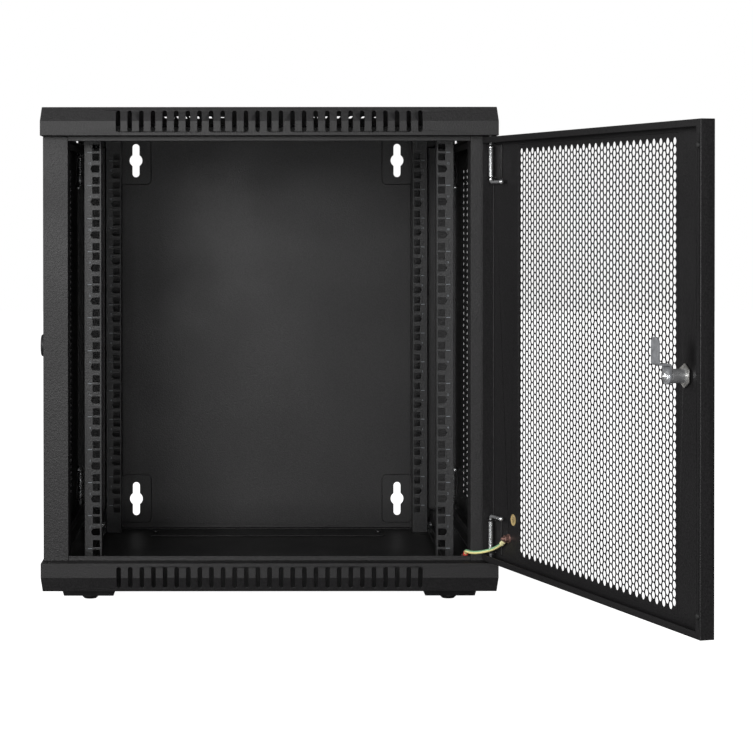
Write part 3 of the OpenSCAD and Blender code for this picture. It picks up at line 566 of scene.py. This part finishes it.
def lockBarrel(bm, s, end):
    # Head, body and bore; the body has fine rolled rings near its end
    head, body, bore, proud = s["head"], s["body"], s["bore"], s["proud"]
    points = [(bore, -proud + 0.8 * mm), (bore + 0.8 * mm, -proud), (head - 1.2 * mm, -proud),
              (head - 0.4 * mm, -proud + 0.4 * mm), (head, -proud + 1.3 * mm), (head, 0), (body, 0),
              (body, end - 2.6 * mm), (body - 0.35 * mm, end - 2.4 * mm), (body - 0.35 * mm, end - 1.6 * mm),
              (body, end - 1.4 * mm), (body, end - 0.5 * mm), (body - 0.5 * mm, end), (bore, end)]
    turnProfile(bm, points, sides=48)


def lockPlug(bm, radius, end, tail):
    # The turning core: a slotted face, the shank, and the threaded tail that holds the cam
    outline = ringOf(bm, radius, 32, (0, 0, -3 * mm))
    keyhole = Matrix.Translation((0, 0, -3 * mm)) @ Matrix.Diagonal((3.5 * mm, 0.7 * mm, 1, 1))
    slot = bmesh.ops.create_grid(bm, x_segments=1, y_segments=1, size=1, matrix=keyhole)["verts"]
    bmesh.ops.delete(bm, geom=list({f for v in slot for f in v.link_faces}), context="FACES_ONLY")
    rim = list({e for v in outline for e in v.link_edges})
    key = list({e for v in slot for e in v.link_edges})
    bmesh.ops.triangle_fill(bm, edges=rim + key, use_beauty=True, normal=(0, 0, -1))
    for edges, depth in ((rim, end + 3 * mm), (key, 5 * mm)):
        grown = bmesh.ops.extrude_edge_only(bm, edges=edges)["geom"]
        moveBy(bm, grown, (0, 0, depth))
        bmesh.ops.edgeloop_fill(bm, edges=[g for g in grown if isinstance(g, bmesh.types.BMEdge)])
    points = [(0, end), (2.9 * mm, end)] + threadPoints(2.9 * mm, 3.3 * mm, end, tail - 0.8 * mm, 0.9 * mm)
    points += [(2.3 * mm, tail), (0, tail)]
    turnProfile(bm, points, sides=24, closed=False)


def camPlate(bm, width, path):
    # A strip that follows its path of (up, in), with round ends and bent corners
    half = width / 2
    up0, in0 = path[0]
    ends = [bm.verts.new((x, up0, in0)) for x in (-half, half)]
    line = bm.edges.new(ends)
    folds = []
    for up1, in1 in path[1:]:
        grown = bmesh.ops.extrude_edge_only(bm, edges=[line])["geom"]
        line = next(g for g in grown if isinstance(g, bmesh.types.BMEdge) and
                    all(v in grown for v in g.verts))
        for v in line.verts:
            v.co = Vector((v.co.x, up1, in1))
        folds.append(line)
    last = folds.pop()
    corners = list(ends) + list(last.verts)
    if folds:
        bmesh.ops.bevel(bm, geom=folds, affect="EDGES", offset=1.6 * mm, offset_type="OFFSET", segments=3,
                        profile=0.5, material=-1)
    corners = [v for v in corners if v.is_valid]
    bmesh.ops.bevel(bm, geom=corners, affect="VERTICES", offset=half * 0.82, offset_type="OFFSET",
                    segments=5, profile=0.5, material=-1)


def makeFrontLock():
    s = frontLock
    place = doorPlace @ Matrix.Translation((s["along"], s["height"], s["face"]))
    bm = bmesh.new()
    lockBarrel(bm, s, s["end"])
    settle(bm, place)
    barrel = makeObject("lock_barrel", bm, zinc, "front_door", ["door_lock_barrel"])
    smoothByAngle(barrel, 40)

    bm = bmesh.new()
    outline = ringOf(bm, s["nut"], 6)
    holes = [ringOf(bm, s["body"] + 0.05 * mm, 32)]
    holes += [ringOf(bm, s["ear"], 12, (0, y * s["earAt"], 0)) for y in (-1, 1)]
    step = s["nutHigh"] - s["nutLow"]
    # The sides of the nut's lower layer are black plastic; the thin upper layer and the face are dull zinc
    flatRing(bm, outline, holes, s["nutLow"], [(step * 0.72, 1, 1), (step * 0.28, 0.985, 0)])
    settle(bm, place)
    nut = makeObject("lock_nut", bm, dullZinc, "front_door", ["door_lock_nut"])
    nut.data.materials.append(blackPlastic)
    softEdges(nut, 0.2 * mm)

    c = frontCam
    bm = bmesh.new()
    path = [(-c["low"], 0), (c["crankUp"], 0), (c["crankUp"], c["crankIn"]), (c["length"], c["crankIn"])]
    camPlate(bm, c["width"], path)
    bmesh.ops.recalc_face_normals(bm, faces=bm.faces)
    if next(iter(bm.faces)).normal.z < 0:
        bmesh.ops.reverse_faces(bm, faces=bm.faces)
    bmesh.ops.solidify(bm, geom=bm.faces[:], thickness=-c["thick"])
    moveBy(bm, bm.verts, (0, 0, c["start"]))
    settle(bm, place)
    cam = makeObject("lock_cam", bm, camZinc, "front_cam", ["door_lock_cam"])
    softEdges(cam, 0.3 * mm, 40)

    bm = bmesh.new()
    back = c["start"] + c["thick"]
    lockPlug(bm, c["plug"], c["start"] - 0.2 * mm, back + 5 * mm)
    turnProfile(bm, [(3.4 * mm, back), (6.4 * mm, back), (6.4 * mm, back + 0.6 * mm),
                     (6.1 * mm, back + 0.9 * mm), (3.4 * mm, back + 0.9 * mm)], sides=32)
    hexNut(bm, c["nut"], back + 0.9 * mm, back + 3.6 * mm)
    settle(bm, place)
    plug = makeObject("lock_plug", bm, zinc, "front_cam", ["door_lock_cam"])
    smoothByAngle(plug, 40)


makeFrontLock()
print("front lock made")


def makeSideLock(hand):
    s = sideLock
    mirrored = hand == "left"
    place = sidePlace @ Matrix.Translation((s["along"], s["height"], s["face"]))
    end = localBox("side_lock_right", sidePlace)[1].z - s["face"]
    bm = bmesh.new()
    rim, inner, proud = s["collar"], s["inner"], s["collarProud"]
    turnProfile(bm, [(inner, 0), (rim, 0), (rim, -proud + 2.4 * mm), (rim - 0.7 * mm, -proud + 0.7 * mm),
                     (rim - 2.2 * mm, -proud), (inner + 0.6 * mm, -proud), (inner, -proud + 0.8 * mm)], sides=48)
    lockBarrel(bm, {**frontLock, "head": s["inner"] - 0.1 * mm}, end)
    hexNut(bm, frontLock["nut"], frontLock["nutLow"], frontLock["nutHigh"])
    settle(bm, place, mirrored)
    lock = makeObject(f"side_lock_{hand}_shell", bm, blackPlastic, f"side_door_{hand}",
                      [f"side_lock_{hand}"])
    softEdges(lock, 0.25 * mm)

    start = end + 0.2 * mm
    bm = bmesh.new()
    half = s["camWidth"] / 2
    camPlate(bm, s["camWidth"], [(-half, 0), (s["camLength"], 0)])
    bmesh.ops.recalc_face_normals(bm, faces=bm.faces)
    if next(iter(bm.faces)).normal.z < 0:
        bmesh.ops.reverse_faces(bm, faces=bm.faces)
    bmesh.ops.solidify(bm, geom=bm.faces[:], thickness=-2 * mm)
    moveBy(bm, bm.verts, (0, 0, start))
    lockPlug(bm, frontCam["plug"], end, start + 7 * mm)
    hexNut(bm, frontCam["nut"], start + 2.2 * mm, start + 5 * mm)
    settle(bm, place, mirrored)
    cam = makeObject(f"side_cam_{hand}_strip", bm, camZinc, f"side_cam_{hand}",
                     [f"side_cam_{hand}"])
    softEdges(cam, 0.25 * mm, 40)


for hand in ("left", "right"):
    makeSideLock(hand)
print("side locks made")

# ---------- earth bolt, lugs, wire and marker

earth = {"along": 44 * mm, "height": 94 * mm, "face": -8 * mm, "lugThick": 1.2 * mm,
         "ring": 5 * mm, "hole": 2.6 * mm, "sleeve": 3.3 * mm, "wire": 2.2 * mm, "slope": math.radians(150)}
wireRoute = [(259.5, -271.5, 66.5), (259.5, -273.7, 68.7), (259.7, -276.9, 70.1), (261.1, -280.6, 70.3),
             (264.4, -283.3, 69.7), (269, -284.6, 69.3), (274, -286.4, 69.7), (278.8, -289.8, 70.8),
             (283.2, -294, 72.4), (287.3, -298.3, 74.2), (291.4, -302.5, 76.3), (295.2, -306.6, 78.8),
             (298.2, -310.5, 81.2), (300.3, -314, 83.3), (301.8, -317.9, 85.3)]  # mm


def earthBolt():
    s = earth
    place = doorPlace @ Matrix.Translation((s["along"], s["height"], s["face"]))
    bm = bmesh.new()
    turnProfile(bm, [(0, -2 * mm), (3.1 * mm, -2 * mm), (4.2 * mm, -1.2 * mm), (4.5 * mm, 0), (2.5 * mm, 0),
                     (2.5 * mm, 1.2 * mm), (6 * mm, 1.2 * mm), (6 * mm, 2.3 * mm), (5.6 * mm, 2.6 * mm),
                     (2.5 * mm, 2.6 * mm)] + threadPoints(2.2 * mm, 2.5 * mm, 4.2 * mm, 11.6 * mm, 0.8 * mm) +
                [(1.7 * mm, 12.2 * mm), (0, 12.2 * mm)], sides=32, closed=False)
    hexNut(bm, 5 * mm, 4.2 * mm, 8.2 * mm, math.radians(12))
    settle(bm, place)
    bolt = makeObject("earth_bolt", bm, copperPlate, "front_door", ["door_earth_stud"])
    smoothByAngle(bolt, 35)

    low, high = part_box("earth_post")
    post = Matrix.Translation(((low.x + high.x) / 2, (low.y + high.y) / 2, low.z))
    bm = bmesh.new()
    top = high.z - low.z
    turnProfile(bm, [(0, 0), (2.5 * mm, 0), (2.5 * mm, 1.4 * mm)] +
                threadPoints(2.2 * mm, 2.5 * mm, 4.8 * mm, top - 0.6 * mm, 0.8 * mm) +
                [(1.7 * mm, top), (0, top)], sides=28, closed=False)
    hexNut(bm, 4.5 * mm, 1.3 * mm, 4.8 * mm, math.radians(20))
    settle(bm, post)
    stud = makeObject("frame_earth_stud", bm, copperPlate, "cabinet", ["earth_post"])
    smoothByAngle(stud, 35)


def ringLug(bm, strap, neck, slope, length):
    # A flat ring with its strap, and the sleeved barrel that grips the wire
    s = earth
    ring = ringOf(bm, s["ring"], 28)
    hole = ringOf(bm, s["hole"], 24)
    flatRing(bm, ring, [hole], 0, [(s["lugThick"], 1, 1)])
    for face in bm.faces:
        face.material_index = 1
    before = set(bm.faces)
    strip = bmesh.ops.create_grid(bm, x_segments=2, y_segments=2, size=0.5)["verts"]
    middle = Matrix.Translation(((s["ring"] + strap) / 2 - 0.6 * mm, 0, 0))
    size = Matrix.Diagonal((strap - s["ring"] + 2 * mm, s["sleeve"] * 1.5, 1, 1))
    bmesh.ops.transform(bm, verts=strip, matrix=middle @ size)
    flat = [f for f in bm.faces if f not in before]
    bmesh.ops.solidify(bm, geom=flat, thickness=-s["lugThick"])
    for face in bm.faces:
        face.material_index = 1
    before = set(bm.faces)
    r = s["sleeve"]
    axis = Vector((math.cos(slope), 0, math.sin(slope)))
    roundBar(bm, r * 0.86, neck, axis, [(r, 0.4 * mm), (r, length * 0.22), (r * 0.88, length * 0.1),
             (r * 0.88, length * 0.2), (r, length * 0.1), (r, length * 0.38 - 0.8 * mm), (r * 0.86, 0.4 * mm)], 24)
    for face in bm.faces:
        if face not in before:
            face.material_index = 0


def earthLugs():
    s = earth
    place = doorPlace @ Matrix.Translation((s["along"], s["height"], s["face"] + 2.8 * mm)) @ \
        Matrix.Rotation(-s["slope"], 4, "Z")
    bm = bmesh.new()
    ringLug(bm, 10 * mm, (8 * mm, 0, 2.2 * mm), 0.0, 9 * mm)
    settle(bm, place)
    lug = makeObject("door_lug", bm, lugYellow, "front_door", ["earth_lug_door"])
    lug.data.materials.append(copperPlate)
    smoothByAngle(lug, 35)

    low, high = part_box("earth_post")
    post = Matrix.Translation(((low.x + high.x) / 2, (low.y + high.y) / 2, low.z)) @ \
        Matrix.Rotation(math.radians(-90), 4, "Z")
    bm = bmesh.new()
    ringLug(bm, 9.5 * mm, (7.5 * mm, 0, 2.5 * mm), math.radians(45), 7 * mm)
    settle(bm, post)
    lug = makeObject("frame_lug", bm, redSleeve, "cabinet", ["earth_lug_frame"])
    lug.data.materials.append(copperPlate)
    smoothByAngle(lug, 35)


def earthWire():
    # A round wire along its route, its green stripe turning slowly round it
    knots = [Vector(p) * mm for p in wireRoute]
    points = []
    for i in range(len(knots) - 1):
        before, a, b = knots[max(i - 1, 0)], knots[i], knots[i + 1]
        after = knots[min(i + 2, len(knots) - 1)]
        for k in range(4):
            t = k / 4
            points.append(0.5 * (2 * a + (b - before) * t + (2 * before - 5 * a + 4 * b - after) * t * t +
                                 (3 * a - before - 3 * b + after) * t ** 3))
    points.append(knots[-1])
    sides = 20
    bm = bmesh.new()
    heading = (points[1] - points[0]).normalized()
    start = Matrix.Translation(points[0]) @ heading.to_track_quat("Z", "Y").to_matrix().to_4x4()
    ring = bmesh.ops.create_circle(bm, segments=sides, radius=earth["wire"], matrix=start, cap_ends=True)
    face = next(iter({f for v in ring["verts"] for f in v.link_faces}))
    bmesh.ops.duplicate(bm, geom=[face])
    for i in range(1, len(points)):
        grown = facesOf(bmesh.ops.extrude_face_region(bm, geom=[face])["geom"])
        if face.is_valid:
            bmesh.ops.delete(bm, geom=[face], context="FACES_ONLY")
        face = grown[0]
        ahead = (points[min(i + 1, len(points) - 1)] - points[i - 1]).normalized()
        turn = heading.rotation_difference(ahead)
        for v in face.verts:
            v.co = points[i] + turn @ (v.co - points[i - 1])
        heading = ahead
        centre = (points[i] + points[i - 1]) / 2
        walls = {f for v in face.verts for f in v.link_faces} - {face}
        for wall in walls:
            out = wall.calc_center_median() - centre
            side = heading.cross(up).normalized()
            over = side.cross(heading)
            angle = math.degrees(math.atan2(out.dot(side), out.dot(over))) + 16 * math.sin(i * 0.09)
            wall.material_index = 1 if abs(angle - 45) < 38 else 0
    bmesh.ops.remove_doubles(bm, verts=bm.verts, dist=1e-7)
    bmesh.ops.recalc_face_normals(bm, faces=bm.faces)
    piece = makeObject("earth_lead", bm, wireYellow, None, ["earth_wire"])
    piece.data.materials.append(wireGreen)
    smoothByAngle(piece, 60)
    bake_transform(piece)


def earthMarker():
    # A round plate with a raised rim and the plain earth bars
    low, high = localBox("door_earth_mark", doorPlace)
    middle = (low + high) / 2
    place = doorPlace @ Matrix.Translation((middle.x, middle.y, low.z))
    r = (high.x - low.x) / 2
    bm = bmesh.new()
    turnProfile(bm, [(0, 0), (r, 0), (r, 0.35 * mm), (r - 0.2 * mm, 0.5 * mm), (r - 0.8 * mm, 0.5 * mm),
                     (r - 1 * mm, 0.4 * mm), (0, 0.4 * mm)], sides=48, closed=False)
    bars = ((0, 0.30, 0.09, 0.55), (0, 0.02, 0.62, 0.09), (0, -0.20, 0.40, 0.09), (0, -0.42, 0.18, 0.09))
    for x, y, wide, tall in bars:
        before = set(bm.faces)
        bmesh.ops.create_grid(bm, x_segments=1, y_segments=1, size=0.5,
                              matrix=Matrix.Translation((x * r, y * r, 0.4 * mm)) @
                              Matrix.Diagonal((2 * wide * r, 2 * tall * r * 0.5, 1, 1)))
        flat = [f for f in bm.faces if f not in before]
        bmesh.ops.solidify(bm, geom=flat, thickness=-0.06 * mm)
        for face in bm.faces:
            if face not in before:
                face.material_index = 1
    settle(bm, place)
    plate = makeObject("earth_marker", bm, markGold, "front_door", ["door_earth_mark"])
    plate.data.materials.append(markBlack)
    smoothByAngle(plate, 35)


earthBolt()
earthLugs()
earthWire()
earthMarker()
print("earth parts made")

# ---------- buffers and printed rails

buffer = {"head": 3.5 * mm, "stem": 2 * mm, "tall": 2 * mm}


def doorBuffers():
    low, high = localBox("door_buffers", doorPlace)
    x = (low.x + high.x) / 2
    bm = bmesh.new()
    for y in (low.y + buffer["head"], high.y - buffer["head"]):
        place = Matrix.Translation((x, y, high.z - buffer["tall"]))
        r, stem, tall = buffer["head"], buffer["stem"], buffer["tall"]
        turnProfile(bm, [(0, low.z - high.z + tall), (stem, low.z - high.z + tall), (stem, 0), (r, 0),
                         (r, tall * 0.35), (r * 0.9, tall * 0.72), (r * 0.62, tall * 0.94), (0, tall)],
                    place, 28, False)
    settle(bm, doorPlace)
    piece = makeObject("rubber_buffers", bm, blackRubber, "front_door", ["door_buffers"])
    smoothByAngle(piece, 50)


railPrint = {"units": 12, "low": 64.6 * mm, "unit": 44.45 * mm, "holeX": 232.55 * mm, "tickFrom": 5.9 * mm,
             "tickLong": 5.6 * mm, "tickWide": 0.8 * mm, "number": 4.2 * mm, "numberAt": 8.4 * mm,
             "above": 7 * mm, "thick": 0.05 * mm}


def printedRails():
    # Unit lines and unit numbers beside the holes, on the front of every rail
    s = railPrint
    bm = bmesh.new()
    for kind in ("front", "rear"):
        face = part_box(f"rail_{kind}_right")[0].y
        for side in (-1, 1):
            for u in range(s["units"] + 1):
                z = s["low"] + u * s["unit"]
                x = side * (s["holeX"] + s["tickFrom"] + s["tickLong"] / 2)
                bmesh.ops.create_cube(bm, size=1, matrix=Matrix.Translation((x, face - s["thick"] / 2, z)) @
                                      Matrix.Diagonal((s["tickLong"], s["thick"], s["tickWide"], 1)))
                if u < s["units"]:
                    number = bpy.data.curves.new("number", "FONT")
                    number.body = str(u + 1)
                    number.size = s["number"]
                    number.align_x = "CENTER"
                    number.align_y = "CENTER"
                    number.resolution_u = 3
                    number.extrude = s["thick"] / 2
                    holder = bpy.data.objects.new("number", number)
                    scene.collection.objects.link(holder)
                    mesh = bpy.data.meshes.new_from_object(holder)
                    spot = Matrix.Translation((side * (s["holeX"] + s["numberAt"]), face - s["thick"] / 2,
                                               z + s["unit"] / 2 + s["above"]))
                    mesh.transform(spot @ Matrix.Rotation(math.radians(90), 4, "X"))
                    bm.from_mesh(mesh)
                    bpy.data.objects.remove(holder)
                    bpy.data.meshes.remove(mesh)
    makeObject("rail_print", bm, printGrey, "cabinet", ())


doorBuffers()
printedRails()
print("buffers and rail print made")

# ---------- camera, light and floor

studio = {"fill": 0.19, "glow": 1.0, "floor": (0.80, 0.80, 0.80, 1), "dull": (0.25, 0.25, 0.25, 1),
          "floorSize": 9, "floorDrop": 0.0002}  # metres


def setCamera():
    data = bpy.data.cameras.new("camera")
    data.lens = camera["lens"]
    data.sensor_width = 36
    data.shift_x, data.shift_y = camera["shift"]
    data.clip_end = 50
    eye = bpy.data.objects.new("camera", data)
    eye.location = Vector(camera["place"]) * mm
    eye.rotation_euler = [math.radians(a) for a in camera["turn"]]
    scene.collection.objects.link(eye)
    scene.camera = eye


def setLights():
    for name, light in lights.items():
        data = bpy.data.lights.new(name, "AREA")
        data.shape = "RECTANGLE"
        data.size, data.size_y = (s * mm for s in light["size"])
        data.energy = light["power"]
        lamp = bpy.data.objects.new(name, data)
        lamp.location = Vector(light["place"]) * mm
        aim = Vector(light["aim"]) * mm - lamp.location
        lamp.rotation_euler = aim.to_track_quat("-Z", "Y").to_euler()
        scene.collection.objects.link(lamp)


def setWorld():
    # White where it is seen, dim where it only lights
    world = bpy.data.worlds.new("studio")
    scene.world = world
    world.use_nodes = True
    tree = world.node_tree
    tree.nodes.clear()
    seen = tree.nodes.new("ShaderNodeBackground")
    seen.inputs["Color"].default_value = (1, 1, 1, 1)
    dim = tree.nodes.new("ShaderNodeBackground")
    dim.inputs["Color"].default_value = (1, 1, 1, 1)
    dim.inputs["Strength"].default_value = studio["fill"]
    path = tree.nodes.new("ShaderNodeLightPath")
    mix = tree.nodes.new("ShaderNodeMixShader")
    out = tree.nodes.new("ShaderNodeOutputWorld")
    tree.links.new(path.outputs["Is Camera Ray"], mix.inputs["Fac"])
    tree.links.new(dim.outputs["Background"], mix.inputs[1])
    tree.links.new(seen.outputs["Background"], mix.inputs[2])
    tree.links.new(mix.outputs["Shader"], out.inputs["Surface"])


def setFloor():
    # Bright where it is seen, dull where it only throws light back
    bm = bmesh.new()
    bmesh.ops.create_grid(bm, x_segments=1, y_segments=1, size=studio["floorSize"])
    material, tree, shader = newMaterial("paleFloor", studio["floor"], 0.9)
    shader.inputs["Emission Color"].default_value = (1, 1, 1, 1)
    shader.inputs["Emission Strength"].default_value = studio["glow"]
    dull = tree.nodes.new("ShaderNodeBsdfDiffuse")
    dull.inputs["Color"].default_value = studio["dull"]
    path = tree.nodes.new("ShaderNodeLightPath")
    mix = tree.nodes.new("ShaderNodeMixShader")
    tree.links.new(path.outputs["Is Camera Ray"], mix.inputs["Fac"])
    tree.links.new(dull.outputs["BSDF"], mix.inputs[1])
    tree.links.new(shader.outputs["BSDF"], mix.inputs[2])
    tree.links.new(mix.outputs["Shader"], tree.nodes["Material Output"].inputs["Surface"])
    floor = makeObject("floor", bm, material, None)
    floor.location.z = -studio["floorDrop"]


setCamera()
setLights()
setWorld()
setFloor()
scene.view_settings.view_transform = "Standard"
print("studio set")
